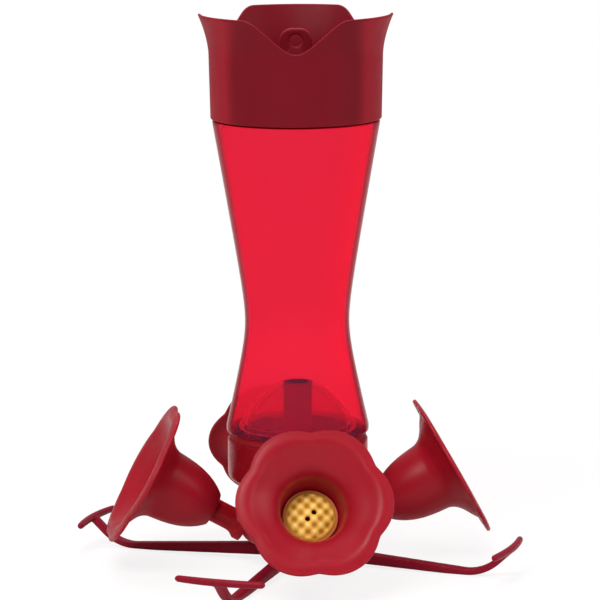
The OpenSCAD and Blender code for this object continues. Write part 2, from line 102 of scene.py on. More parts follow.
STEM_UP = 6.9
STEM_L = 11.0
STEM_R = 4.3
STEM_BORE_R = 2.8
FLOWER_L = 29.5
PETAL_R = 27.9
PETAL_SHIFT = 11.5
FLOWER_WALL = 1.3
TRUMPET_L = 9.5
GUARD_R = 9.8
THROAT_R = 12.9
GUARD_DEPTH = 19.5
GUARD_FLANGE = 1.0
GUARD_RISE = 2.4
GUARD_WALL = 1.3
PLUG_R = 8.7
PLUG_L = 3.0
PLUG_DEPTH = 23.5
LATTICE = 3.35
LATTICE_TURN = -45.0
FEED_R = 0.9
CROWN_TURN = -6.0
CAP_WALL = 1.6
CAP_FLOOR = 2.0
CAP_TAPER = 0.5
SLEEVE_WALL = 1.8
FLARE_UP = 4.5
CUP_H = 19.5
CROWN_FLARE = 3.9
NOTCH_DEPTH = 12.3
NOTCH_HALF = 29.0
EYE_W = 11.6
EYE_T = 3.6
EYE_HOLE_R = 2.3
EYE_OVER = 2.1
EYE_UP = 9.5
THREAD_PITCH = 4.0
THREAD_H = 0.7

# Edges sharper than these angles stay sharp, and faces round a turned piece
SHARP = 38.0
FLOWER_SHARP = 50.0
WIDE_COLUMNS = 192
MID_COLUMNS = 160
SMALL_COLUMNS = 64
ROD_COLUMNS = 48
HOLE_COLUMNS = 32

# Angle of each flower about Z, in degrees
SIDES = {"front": -90.0, "right": 0.0, "back": 90.0, "left": 180.0}


def span(node):
    """Lowest and highest point of a node, in millimetres."""
    low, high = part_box(node)
    return low.z / MM, high.z / MM


# Heights read from the frame, and what is worked out from them and from the sizes above
LOWER_NECK_Z, NECK_TOP = span("bottle")
HUB_TOP, FOOT_Z = span("foot_gasket")
DOME_Z = span("valve_dome")[0]
CAP_FLOOR_Z = span("cap_gasket")[1]
CAP_Z = span("cap")[0]
SCREW_Z = span("perch_screw")[0]
WASHER_Z, DRIVE_Z = span("perch_washer")
SHOULDER_Z = NECK_TOP - NECK_H
HUB_Z = span("base_hub")[0]
BOSS_TOP = HUB_Z - BODY_GAP
BOSS_Z = SCREW_Z - 0.5
RING_Z = HUB_Z + HUB_FLOOR + RING_UP
CAP_R = SHOULDER_R + 0.7
SLEEVE_IN_R = NECK_R + 1.1
PORT_REACH = STEM_L + FLOWER_L
RIM_R = BOWL_R + PORT_REACH * cos(radians(FLOWER_TILT))
RIM_Z = HUB_Z + STEM_UP + PORT_REACH * sin(radians(FLOWER_TILT))


# Outlines and skins
def bezier(c, steps, inset=0.0):
    """Points along a cubic curve, moved to its left by inset."""
    points = []
    for i in range(steps + 1):
        t = i / steps
        s = 1 - t
        x, z = (s**3 * c[0][k] + 3 * t * s * s * c[1][k] + 3 * t * t * s * c[2][k] + t**3 * c[3][k]
                for k in (0, 1))
        dx, dz = (s * s * (c[1][k] - c[0][k]) + 2 * t * s * (c[2][k] - c[1][k]) + t * t * (c[3][k] - c[2][k])
                  for k in (0, 1))
        length = hypot(dx, dz)
        points.append((x - inset * dz / length, z + inset * dx / length))
    return points


def rounded(corners, steps=5, closed=True):
    """Outline through corners (r, z) or (r, z, radius): a corner with a radius becomes an arc."""
    out = []
    last = len(corners) - 1
    for i, corner in enumerate(corners):
        p = Vector(corner[:2])
        if len(corner) < 3 or (not closed and i in (0, last)):
            out.append(tuple(p))
            continue
        a = Vector(corners[i - 1][:2]) - p
        b = Vector(corners[(i + 1) % len(corners)][:2]) - p
        half = a.angle(b) / 2
        reach = min(corner[2] / tan(half), a.length * 0.49, b.length * 0.49)
        centre = p + (a.normalized() + b.normalized()).normalized() * (reach / cos(half))
        start = p + a.normalized() * reach - centre
        end = p + b.normalized() * reach - centre
        sweep = pi - 2 * half
        for k in range(steps + 1):
            t = k / steps
            out.append(tuple(centre + (start * sin((1 - t) * sweep) + end * sin(t * sweep)) / sin(sweep)))
    return out


def line(a, b, step):
    """Points from a to b, both included, about step apart."""
    count = max(1, round(hypot(b[0] - a[0], b[1] - a[1]) / step))
    return [(a[0] + (b[0] - a[0]) * k / count, a[1] + (b[1] - a[1]) * k / count) for k in range(count + 1)]


def skin(rings, wrap=False):
    """Points and faces over rings of points.

    A ring of one point is a pole, and wrap joins the last ring to the first.
    """
    points, faces, starts = [], [], []
    for ring in rings:
        starts.append((len(points), len(ring)))
        points.extend(ring)
    followers = starts[1:] + (starts[:1] if wrap else [])
    for (a, na), (b, nb) in zip(starts, followers):
        for i in range(max(na, nb)):
            j = (i + 1) % max(na, nb)
            if na == 1:
                faces.append((a, b + j, b + i))
            elif nb == 1:
                faces.append((a + i, a + j, b))
            else:
                faces.append((a + i, a + j, b + j, b + i))
    return points, faces


def fan_ends(rings):
    """Rings with a middle point before the first and after the last, so that both ends close."""
    def middle(ring):
        return [tuple(sum(p[k] for p in ring) / len(ring) for k in range(3))]
    return [middle(rings[0])] + rings + [middle(rings[-1])]


def piece(name, shape, place=None, sharp=SHARP):
    """Object from points in millimetres and faces."""
    points, faces = shape
    mesh = bpy.data.meshes.new(name)
    mesh.from_pydata([(place @ Vector(p) if place else Vector(p)) * MM for p in points], [], faces)
    tidy(mesh, sharp)
    obj = bpy.data.objects.new(name, mesh)
    bpy.context.scene.collection.objects.link(obj)
    return obj


def tidy(mesh, sharp):
    """Outward normals, nothing doubled or of no length, smooth between edges sharper than sharp degrees."""
    bm = bmesh.new()
    bm.from_mesh(mesh)
    bmesh.ops.remove_doubles(bm, verts=bm.verts, dist=DOUBLE_DISTANCE)
    bmesh.ops.dissolve_degenerate(bm, edges=bm.edges, dist=DOUBLE_DISTANCE)
    bmesh.ops.recalc_face_normals(bm, faces=bm.faces)
    bm.to_mesh(mesh)
    bm.free()
    mesh.shade_smooth()
    mesh.set_sharp_from_angle(angle=radians(sharp))


def apply_modifiers(obj):
    """Keeps what the modifiers made as the object's own mesh."""
    evaluated = obj.evaluated_get(bpy.context.evaluated_depsgraph_get())
    made = bpy.data.meshes.new_from_object(evaluated)
    obj.modifiers.clear()
    obj.data = made


def combine(obj, tools, operation, sharp=SHARP):
    """Cuts the tools from obj or adds them to it, and deletes them."""
    for tool in tools:
        cut = obj.modifiers.new("combine", "BOOLEAN")
        cut.operation = operation
        cut.solver = "EXACT"
        cut.object = tool
        apply_modifiers(obj)
    for tool in tools:
        bpy.data.objects.remove(tool)
    tidy(obj.data, sharp)
    return obj


def turned(outline, columns=WIDE_COLUMNS, wrap=True, ridge=None):
    """Outline of (radius, height) turned about Z. ridge(angle, radius, height) is added to the radius."""
    rings = []
    for r, z in outline:
        if r < 1e-6:
            rings.append([(0.0, 0.0, z)])
            continue
        ring = []
        for i in range(columns):
            a = tau * i / columns
            reach = r + (ridge(a, r, z) if ridge else 0.0)
            ring.append((reach * cos(a), reach * sin(a), z))
        rings.append(ring)
    return skin(rings, wrap)


def bar(r, low, high, columns=ROD_COLUMNS, edge=0.0):
    """Closed upright bar, its rims rounded where edge is given."""
    if edge:
        outline = rounded([(0, low), (r, low, edge), (r, high, edge), (0, high)], closed=False)
    else:
        outline = [(0, low), (r, low), (r, high), (0, high)]
    return turned(outline, columns, wrap=False)


def box_shape(low, high):
    """Closed box between two corners."""
    x, y, z = zip(low, high)
    points = [(x[i], y[j], z[k]) for i in (0, 1) for j in (0, 1) for k in (0, 1)]
    faces = [(0, 1, 3, 2), (4, 6, 7, 5), (0, 4, 5, 1), (2, 3, 7, 6), (0, 2, 6, 4), (1, 5, 7, 3)]
    return points, faces


def helix(surface_r, low, high, height, phase, width=1.5):
    """Ridge of a thread for turned(), on the wall at surface_r between two heights.

    It is width wide at its root and fades out at both ends. A negative height points inwards.
    """
    fade = 1.6
    steepness = 1.6
    wall_band = 0.02

    def ridge(a, r, z):
        if abs(r - surface_r) > wall_band or not low < z < high:
            return 0.0
        off = (z - low - THREAD_PITCH * (a / tau + phase)) % THREAD_PITCH - THREAD_PITCH / 2
        shape = max(0.0, 1 - abs(off) / (width / 2))
        shape = min(1.0, shape * steepness)
        ends = min(1.0, (z - low) / fade, (high - z) / fade)
        return height * shape * shape * (3 - 2 * shape) * max(0.0, ends)
    return ridge


def about_z(degrees):
    return Matrix.Rotation(radians(degrees), 4, "Z")


def port(side):
    """Frame of a flower: origin in the middle of its rim, +Z out of the flower."""
    a = radians(SIDES[side])
    return (Matrix.Translation((RIM_R * cos(a), RIM_R * sin(a), RIM_Z)) @ about_z(SIDES[side])
            @ Matrix.Rotation(radians(90 - FLOWER_TILT), 4, "Y"))


# Bottle
def pinch(d, length, rise, soft):
    """Rise at distance d from the waist: a straight side of this length and rise, softened there."""
    slope = sqrt((rise + soft) ** 2 - soft * soft) / length
    return sqrt(soft * soft + (slope * d) ** 2) - soft


def bottle_radius(z):
    waist_z = FOOT_Z + WAIST_H
    band_z = FOOT_Z + FOOT_BAND
    round_z = SHOULDER_Z - SHOULDER_ROUND
    if z < waist_z:
        return WAIST_R + pinch(waist_z - z, waist_z - band_z, FOOT_R - WAIST_R, SOFT_DOWN)
    return WAIST_R + pinch(z - waist_z, round_z - waist_z, SHOULDER_R - WAIST_R, SOFT_UP)


def bottle_skin():
    band_z = FOOT_Z + FOOT_BAND
    round_z = SHOULDER_Z - SHOULDER_ROUND
    side_step = 1.6
    thread_step = 0.3
    lip_h, lip_round = 0.5, 0.45
    neck_in = NECK_R - NECK_WALL
    low_in = LOWER_NECK_R - NECK_WALL
    heights = [z for _, z in line((0, band_z), (0, round_z), side_step)]
    foot = rounded([(LOWER_NECK_R, FOOT_Z - 0.4), (LOWER_NECK_R, FOOT_Z, 0.3), (FOOT_R, FOOT_Z, 0.9),
                    (FOOT_R, band_z)], closed=False)[1:-1]
    shoulder = rounded([(bottle_radius(round_z), round_z), (SHOULDER_R + 0.12, SHOULDER_Z, 1.3),
                        (NECK_R, SHOULDER_Z, 0.6), (NECK_R, SHOULDER_Z + 1)], closed=False)[1:-1]
    outer = (line((LOWER_NECK_R, LOWER_NECK_Z + lip_h), (LOWER_NECK_R, FOOT_Z - 0.4), thread_step)
             + foot
             + [(bottle_radius(z), z) for z in heights]
             + shoulder
             + line((NECK_R, SHOULDER_Z + 1), (NECK_R, NECK_TOP - lip_h), thread_step))
    lip = rounded([(NECK_R, NECK_TOP - lip_h), (NECK_R, NECK_TOP, lip_round), (neck_in, NECK_TOP, lip_round),
                   (neck_in, NECK_TOP - lip_h)], closed=False)[1:-1]
    roof_z = SHOULDER_Z - BOTTLE_WALL
    under_roof_z = roof_z - 6
    roof = rounded([(neck_in, NECK_TOP - 0.6), (neck_in, roof_z, 0.8),
                    (SHOULDER_R - BOTTLE_WALL - 0.1, roof_z, 2.2),
                    (bottle_radius(under_roof_z) - BOTTLE_WALL, under_roof_z)], closed=False)[:-1]
    inner = (roof
             + [(bottle_radius(z) - BOTTLE_WALL, z) for z in reversed(heights) if z < roof_z - 2.6]
             + [(low_in + 0.15, FOOT_Z), (low_in, FOOT_Z - 0.6)])
    end = rounded([(low_in, LOWER_NECK_Z + 1.2), (low_in, LOWER_NECK_Z, 0.4),
                   (LOWER_NECK_R, LOWER_NECK_Z, 0.4), (LOWER_NECK_R, LOWER_NECK_Z + lip_h)],
                  closed=False)[:-1]
    top = helix(NECK_R, SHOULDER_Z + 2.2, NECK_TOP - 1.2, THREAD_H, 0.0)
    low = helix(LOWER_NECK_R, LOWER_NECK_Z + 1.0, FOOT_Z - 1.0, THREAD_H - 0.1, 0.0)
    return turned(outer + lip + inner + end, ridge=lambda a, r, z: top(a, r, z) + low(a, r, z))


def mark_inner_wall(bottle):
    """Gives the wall inside the bottle's body a tone of 1, for the haze in the bottle's material."""
    tone = bottle.data.attributes.new("tone", "FLOAT", "POINT")
    for vertex, value in zip(bottle.data.vertices, tone.data):
        x, y, z = vertex.co / MM
        in_body = FOOT_Z + 0.5 < z < SHOULDER_Z - 1.0
        value.value = in_body and hypot(x, y) < bottle_radius(z) - BOTTLE_WALL / 2


# Base
def hub_outline():
    collar_low = DOME_Z - HUB_WALL
    drop = BOWL_R - COLLAR_R
    bowl_h = 9
    collar_in = COLLAR_R - COLLAR_WALL
    bowl_in = BOWL_R - HUB_WALL
    floor_z = HUB_Z + HUB_FLOOR
    bearing_out = BEARING_R + HUB_WALL
    bearing_z = floor_z + BEARING_H
    bowl = bezier([(HUB_BASE_R, HUB_Z), (HUB_BASE_R + 4, HUB_Z + 0.4), (BOWL_R, HUB_Z + 3),
                   (BOWL_R, HUB_Z + bowl_h)], 16)
    side = line((BOWL_R, HUB_Z + bowl_h + 1), (BOWL_R, collar_low + drop - 3), 1.5)
    neck = bezier([(BOWL_R, collar_low + drop - 2), (BOWL_R, collar_low + drop + 1),
                   (COLLAR_R, collar_low - 4), (COLLAR_R, collar_low)], 14)
    rim = rounded([(COLLAR_R, HUB_TOP - 1), (COLLAR_R, HUB_TOP, 0.5), (collar_in, HUB_TOP, 0.4),
                   (collar_in, HUB_TOP - 1)], closed=False)
    thread_wall = line((collar_in, HUB_TOP - 1.3), (collar_in, DOME_Z + 1.3), 0.3)
    ledge = rounded([(collar_in, DOME_Z + 1), (collar_in, DOME_Z, 0.2), (bowl_in, DOME_Z, 0.4),
                     (bowl_in, DOME_Z - 3)], closed=False)
    floor = bezier([(HUB_BASE_R - HUB_WALL, floor_z), (HUB_BASE_R + 2, floor_z + 0.4),
                    (bowl_in, floor_z + 2), (bowl_in, HUB_Z + bowl_h)], 12)
    bearing = rounded([(HUB_BASE_R - HUB_WALL - 2, floor_z), (bearing_out, floor_z, 0.6),
                       (bearing_out, bearing_z, 0.3), (BEARING_R, bearing_z, 0.2),
                       (BEARING_R, HUB_Z, 0.25), (HUB_BASE_R - 2, HUB_Z)], closed=False)
    return bowl + side + neck + rim + thread_wall + ledge + list(reversed(floor)) + bearing


def stem(side, r, flare, from_depth, to_depth):
    """Bar along a port's axis, with a flared root where it leaves the bowl."""
    flare_l = 1.5
    outline = [(0.0, -to_depth)]
    for _, z in line((0, -to_depth), (0, -from_depth), 0.5):
        swell = flare * exp(-((max(0.0, z + PORT_REACH) / flare_l) ** 1.5)) if flare else 0.0
        outline.append((r + swell, z))
    outline.append((0.0, -from_depth))
    return piece("stem_tool", turned(outline, ROD_COLUMNS, wrap=False), port(side))


def hub_skin(name):
    collar_in = COLLAR_R - COLLAR_WALL
    ridge = helix(collar_in, DOME_Z + 1.5, HUB_TOP - 1.0, -0.5, 0.5)
    hub = piece(name, turned(hub_outline(), ridge=ridge))
    root_flare, root_depth, bore_depth = 1.7, 2.2, 5
    solid = [stem(side, STEM_R, root_flare, PLUG_DEPTH, PORT_REACH + root_depth) for side in SIDES]
    combine(hub, solid, "UNION")
    bores = [stem(side, STEM_BORE_R, 0, PLUG_DEPTH - 1, PORT_REACH + bore_depth) for side in SIDES]
    return combine(hub, bores, "DIFFERENCE")


# Valve
def flow_slots(r_in, r_out, low, high, turn=0.0):
    """Four cutting boxes, half way between the flowers plus turn."""
    tools = []
    for angle in SIDES.values():
        shape = box_shape((r_in, -SLOT_W / 2, low), (r_out, SLOT_W / 2, high))
        tools.append(piece("slot_tool", shape, about_z(angle + 45 + turn)))
    return tools


DOME_LOW = FOOT_Z + DOME_SKIRT_UP
DOME_HOLE_R = TUBE_R + BODY_GAP
ROTOR_TOP = DOME_LOW - BODY_GAP
SLOT_Z = ROTOR_TOP - ROTOR_CUP_H + CUP_FLOOR_T + BODY_GAP
RIM_LOW = DOME_LOW - DOME_WALL


def dome_height(r):
    return DOME_LOW + DOME_H * (1 - (r / DOME_R) ** 2)


def dome_line(inset, steps=40):
    """Points along the dome from its rim to its hole, moved inwards by inset."""
    points = []
    for i in range(steps + 1):
        r = DOME_R + (DOME_HOLE_R - DOME_R) * i / steps
        slope = 2 * DOME_H * r / DOME_R**2
        length = hypot(slope, 1)
        points.append((r - inset * slope / length, dome_height(r) - inset / length))
    return points


def dome_skin(name):
    skirt_in = SKIRT_R - DOME_WALL
    foot_z = DOME_Z + DOME_WALL
    under = [(max(r, DOME_HOLE_R), z) for r, z in reversed(dome_line(DOME_WALL)) if z > DOME_LOW + 0.3]
    outline = rounded([(skirt_in, DOME_Z + 0.6), (skirt_in, DOME_Z, 0.2), (DOME_R, DOME_Z, 0.3),
                       (DOME_R, foot_z, 0.3), (SKIRT_R, foot_z, 0.5), (SKIRT_R, RIM_LOW, 0.5),
                       (DOME_R, RIM_LOW, 0.3), (DOME_R, DOME_LOW)], closed=False)[:-1]
    outline += dome_line(0) + under + [(skirt_in, DOME_LOW - 0.2)]
    dome = piece(name, turned(outline, MID_COLUMNS))
    slots = flow_slots(skirt_in - 0.15, SKIRT_R + 0.5, SLOT_Z, RIM_LOW - BODY_GAP)
    return combine(dome, slots, "DIFFERENCE")


def rotor_skin(name):
    """Shaft with its O-ring groove, cup with drains and flow slots, tube, square drive and screw hole."""
    cup_z = ROTOR_TOP - ROTOR_CUP_H
    floor_top = cup_z + CUP_FLOOR_T
    tube_top = dome_height(DOME_HOLE_R)
    wall_in = ROTOR_R - DOME_WALL
    tube_in = TUBE_R - TUBE_WALL
    bearing_top = HUB_Z + HUB_FLOOR + BEARING_H
    thrust_r = BEARING_R + HUB_WALL
    thrust_top = bearing_top + CUP_FLOOR_T
    groove = 0.65
    groove_r = SHAFT_R - 1.2
    shaft = [(0, BOSS_TOP + 0.05), (SHAFT_R, BOSS_TOP + 0.05, 0.3), (SHAFT_R, RING_Z - groove, 0.1),
             (groove_r, RING_Z - groove, 0.1), (groove_r, RING_Z + groove, 0.1),
             (SHAFT_R, RING_Z + groove, 0.1), (SHAFT_R, bearing_top, 0.05), (thrust_r, bearing_top, 0.3),
             (thrust_r, thrust_top, 0.3), (SHAFT_R, thrust_top, 0.4), (SHAFT_R, cup_z, 0.8)]
    cup = [(ROTOR_R, cup_z, 0.5), (ROTOR_R, ROTOR_TOP, 0.4), (wall_in, ROTOR_TOP, 0.4),
           (wall_in, floor_top, 0.8), (TUBE_R, floor_top, 0.8), (TUBE_R, tube_top, 0.5),
           (tube_in, tube_top, 0.4), (tube_in, floor_top, 0.6), (0, floor_top)]
    rotor = piece(name, turned(rounded(shaft + cup, closed=False), MID_COLUMNS, wrap=False))
    turn = about_z(-PERCH_TURN)
    half = DRIVE_W / 2
    drive_shape = box_shape((-half, -half, DRIVE_Z + 0.05), (half, half, BOSS_TOP + 0.6))
    combine(rotor, [piece("drive_tool", drive_shape, turn)], "UNION")
    middle = (TUBE_R + wall_in) / 2
    drain_r = (wall_in - TUBE_R) * 0.32
    drains = []
    for angle in SIDES.values():
        a = radians(angle - PERCH_TURN)
        shift = Matrix.Translation((middle * cos(a), middle * sin(a), 0))
        drains.append(piece("drain_tool", bar(drain_r, cup_z - 1, cup_z + 3), shift))
    screw_hole = piece("screw_tool", bar(SCREW_HOLE_R, DRIVE_Z - 1, DRIVE_Z + 8.2, HOLE_COLUMNS))
    slots = flow_slots(wall_in - 0.15, ROTOR_R + 0.5, SLOT_Z, ROTOR_TOP + 0.5, -PERCH_TURN)
    return combine(rotor, drains + slots + [screw_hole], "DIFFERENCE")


# Perches
def arm_sections():
    """Bottom and top of the arm along its length, as (distance from the axis, height) pairs.

    The arm lies flat near the bend, which is the foot, then bends up and runs straight to the cross bar.
    """
    slope = radians(ARM_SLOPE)
    straight = (BAR_UP - ARM_T / 2 - BEND_R * (1 - cos(slope))) / sin(slope)
    bend_start = BAR_REACH - BEND_R * sin(slope) - straight * cos(slope)
    flat_start = bend_start - FOOT_FLAT
    inside = BOSS_R - 4
    flat_steps, bend_steps, straight_steps = 40, 12, 5
    pairs = []
    for k in range(flat_steps + 1):
        r = inside + (bend_start - inside) * k / flat_steps
        fall = min(1.0, max(0.0, (r - BOSS_R) / (flat_start - BOSS_R)))
        drop = min(1.0, max(0.0, (r - BOSS_R) / (bend_start - BOSS_R)))
        top = BOSS_Z + ARM_ROOT_H + (ARM_T - BOSS_Z - ARM_ROOT_H) * drop
        pairs.append(((r, BOSS_Z * (1 - fall)), (r, top)))
    low, high = BEND_R + ARM_T / 2, BEND_R - ARM_T / 2
    for k in range(1, bend_steps + 1):
        a = slope * k / bend_steps
        pairs.append(((bend_start + low * sin(a), ARM_T / 2 + BEND_R - low * cos(a)),
                      (bend_start + high * sin(a), ARM_T / 2 + BEND_R - high * cos(a))))
    bend_end = pairs[-1]
    for k in range(1, straight_steps + 1):
        step = straight * k / straight_steps
        pairs.append(tuple((p[0] + cos(slope) * step, p[1] + sin(slope) * step) for p in bend_end))
    return pairs


def arm_shape():
    columns, squareness = 24, 0.45
    rings = []
    for low, high in arm_sections():
        middle = ((low[0] + high[0]) / 2, (low[1] + high[1]) / 2)
        up = ((high[0] - low[0]) / 2, (high[1] - low[1]) / 2)
        ring = []
        for i in range(columns):
            a = tau * i / columns
            x = abs(cos(a)) ** squareness * (1 if cos(a) > 0 else -1)
            y = abs(sin(a)) ** squareness * (1 if sin(a) > 0 else -1)
            ring.append((middle[0] + up[0] * y, ARM_W / 2 * x, middle[1] + up[1] * y))
        rings.append(ring)
    return skin(fan_ends(rings))


def cross_bar_shape():
    """Round bar on an arc about the axis, thinner towards its rounded ends."""
    half = (BAR_L - BAR_T) / BAR_REACH / 2
    r = BAR_T / 2
    steps, end_steps, columns = 36, 6, 24
    thinning, smallest = 0.12, 0.02
    rings = []
    for k in range(-steps - end_steps, steps + end_steps + 1):
        t = max(-1.0, min(1.0, k / steps))
        over = max(0, abs(k) - steps) / end_steps * pi / 2
        thick = r * (1 - thinning * t * t) * max(smallest, cos(over))
        a = half * t + (1 if k > 0 else -1) * r * sin(over) / BAR_REACH
        ring = []
        for i in range(columns):
            b = tau * i / columns
            reach = BAR_REACH + thick * cos(b)
            ring.append((reach * cos(a), reach * sin(a), BAR_UP + thick * sin(b)))
        rings.append(ring)
    return skin(fan_ends(rings))


def spider_skin(name):
    """Boss, arms and cross bars melted into one moulding, with the holes for the screw and the drive."""
    voxel = 0.38
    boss_columns, boss_edge = 96, 0.7
    recess_r = 4.9
    drive_gap = 0.05
    melted_sharp = 45.0
    spider = piece(name, bar(BOSS_R, BOSS_Z, BOSS_TOP, boss_columns, boss_edge))
    mesh = bmesh.new()
    mesh.from_mesh(spider.data)
    for angle in SIDES.values():
        turn = about_z(angle - PERCH_TURN)
        for shape in (arm_shape(), cross_bar_shape()):
            part = piece("limb_tool", shape, turn)
            mesh.from_mesh(part.data)
            bpy.data.objects.remove(part)
    mesh.to_mesh(spider.data)
    mesh.free()
    remesh = spider.modifiers.new("melt", "REMESH")
    remesh.mode = "VOXEL"
    remesh.voxel_size = voxel * MM
    remesh.adaptivity = 0.0
    smooth = spider.modifiers.new("smooth", "SMOOTH")
    smooth.factor = 0.5
    smooth.iterations = 6
    apply_modifiers(spider)
    turn = about_z(-PERCH_TURN)
    half = DRIVE_W / 2 + drive_gap
    recess = piece("recess_tool", bar(recess_r, BOSS_Z - 1, DRIVE_Z))
    square = piece("square_tool", box_shape((-half, -half, BOSS_Z), (half, half, BOSS_TOP + 1)), turn)
    return combine(spider, [recess, square], "DIFFERENCE", melted_sharp)


def screw_skin(name):
    """Pan-head screw with a cross slot and a fine thread of 1 mm pitch."""
    length, tip = 6.8, 0.8
    end_z = WASHER_Z + length
    point_step = 0.12
    outline = rounded([(0, SCREW_Z + 0.1), (1.6, SCREW_Z, 0.8), (SCREW_HEAD_R, SCREW_Z + 0.45, 0.5),
                       (SCREW_HEAD_R, WASHER_Z, 0.15), (SCREW_R, WASHER_Z, 0.1), (SCREW_R, end_z, 0.3),
                       (0, end_z + tip)], closed=False)
    dense = []
    for a, b in zip(outline, outline[1:]):
        dense += line(a, b, point_step)[:-1]
    dense.append(outline[-1])

    def thread(a, r, z):
        off = (z - a / tau) % 1.0 - 0.5
        on = abs(r - SCREW_R) < 0.01 and z > WASHER_Z + 1.2
        return -0.22 * max(0.0, abs(off) * 2.4 - 0.3) if on else 0.0
    screw = piece(name, turned(dense, SMALL_COLUMNS, wrap=False, ridge=thread))
    slot = box_shape((-1.8, -0.3, SCREW_Z - 1), (1.8, 0.3, SCREW_Z + 0.75))
    cuts = [piece("slot_tool", slot, about_z(turn)) for turn in (15, 105)]
    return combine(screw, cuts, "DIFFERENCE")


# Flowers
BELL = [(STEM_R + 1.9, -FLOWER_L), (THROAT_R - 0.9, -FLOWER_L + 6.5),
        (THROAT_R - 0.5, -TRUMPET_L - 5.5), (THROAT_R, -TRUMPET_L)]
TRUMPET = [(THROAT_R, -TRUMPET_L), (THROAT_R + 0.8, -TRUMPET_L * 0.62),
           (THROAT_R + 4.3, -3.0 - FLOWER_WALL / 2), (PETAL_R + 0.5, -FLOWER_WALL / 2)]


def petal_reach(a):
    """Distance from a flower's axis to its lobed edge, at an angle from a notch."""
    sector = tau / 6
    off = (a % sector) - sector / 2
    lobe = PETAL_R - PETAL_SHIFT
    sharp = PETAL_SHIFT * cos(off) + sqrt(lobe * lobe - (PETAL_SHIFT * sin(off)) ** 2)
    notch = (1 - cos(off)) / (1 - cos(sector / 2))
    notch_fill = 0.35
    return sharp + notch_fill * notch**6


def flower_skin(name, side):
    """Bell on its stem, with a trumpet that ends in a lobed edge with a rolled lip."""
    columns = 216
    bell_steps, trumpet_steps, lip_steps = 16, 40, 8
    throat_points = 10
    lip_r = 0.75
    fold_h, fold_at, fold_w, droop = 0.8, 0.7, 0.2, 0.9
    bell_back = bezier(BELL, bell_steps)
    bell_front = bezier(BELL, bell_steps, FLOWER_WALL)
    trumpet_back = bezier(TRUMPET, trumpet_steps)
    trumpet_front = bezier(TRUMPET, trumpet_steps, FLOWER_WALL)
    plug_in = PLUG_R + 0.1
    socket_r = STEM_R + 0.05
    seat = rounded([(THROAT_R - FLOWER_WALL - 0.2, -TRUMPET_L - 3.6), (GUARD_R + 0.5, -GUARD_DEPTH, 0.5),
                    (plug_in, -GUARD_DEPTH, 0.2), (plug_in, -PLUG_DEPTH, 0.4), (socket_r, -PLUG_DEPTH, 0.2),
                    (socket_r, -FLOWER_L, 0.2), (STEM_R + 1.9, -FLOWER_L, 0.5),
                    (THROAT_R - 4, -FLOWER_L + 4)], closed=False)[1:-1]
    throat = list(reversed(bell_front[:-1]))[:throat_points]

    def rim_point(middle_z, reach, k):
        """A point of the rolled lip, from the front of the petal round to its back."""
        a = pi * k / lip_steps
        return reach - lip_r * (1 - sin(a)), middle_z + lip_r * cos(a)

    def stretched(points, reach):
        """The trumpet's points drawn to the lobed outline, with a low fold inside a drooping edge."""
        out = []
        full = points[-1][0]
        for r, z in points:
            t = max(0.0, (r - THROAT_R) / (full - THROAT_R))
            fold = fold_h * exp(-(((t - fold_at) / fold_w) ** 2))
            out.append((r + (reach - lip_r - full) * t**1.5, z + fold - droop * t**8))
        return out

    sections = []
    for i in range(columns):
        a = tau * i / columns
        reach = petal_reach(a)
        back = stretched(trumpet_back, reach)
        front = stretched(trumpet_front, reach)
        middle_z = (back[-1][1] + front[-1][1]) / 2
        lip = [rim_point(middle_z, reach, k) for k in range(1, lip_steps)]
        outline = list(reversed(front)) + throat + seat + bell_back[1:-1] + back + list(reversed(lip))
        sections.append([(r * cos(a), r * sin(a), z) for r, z in outline])
    rings = [list(ring) for ring in zip(*sections)]
    return piece(name, skin(rings, wrap=True), port(side), FLOWER_SHARP)


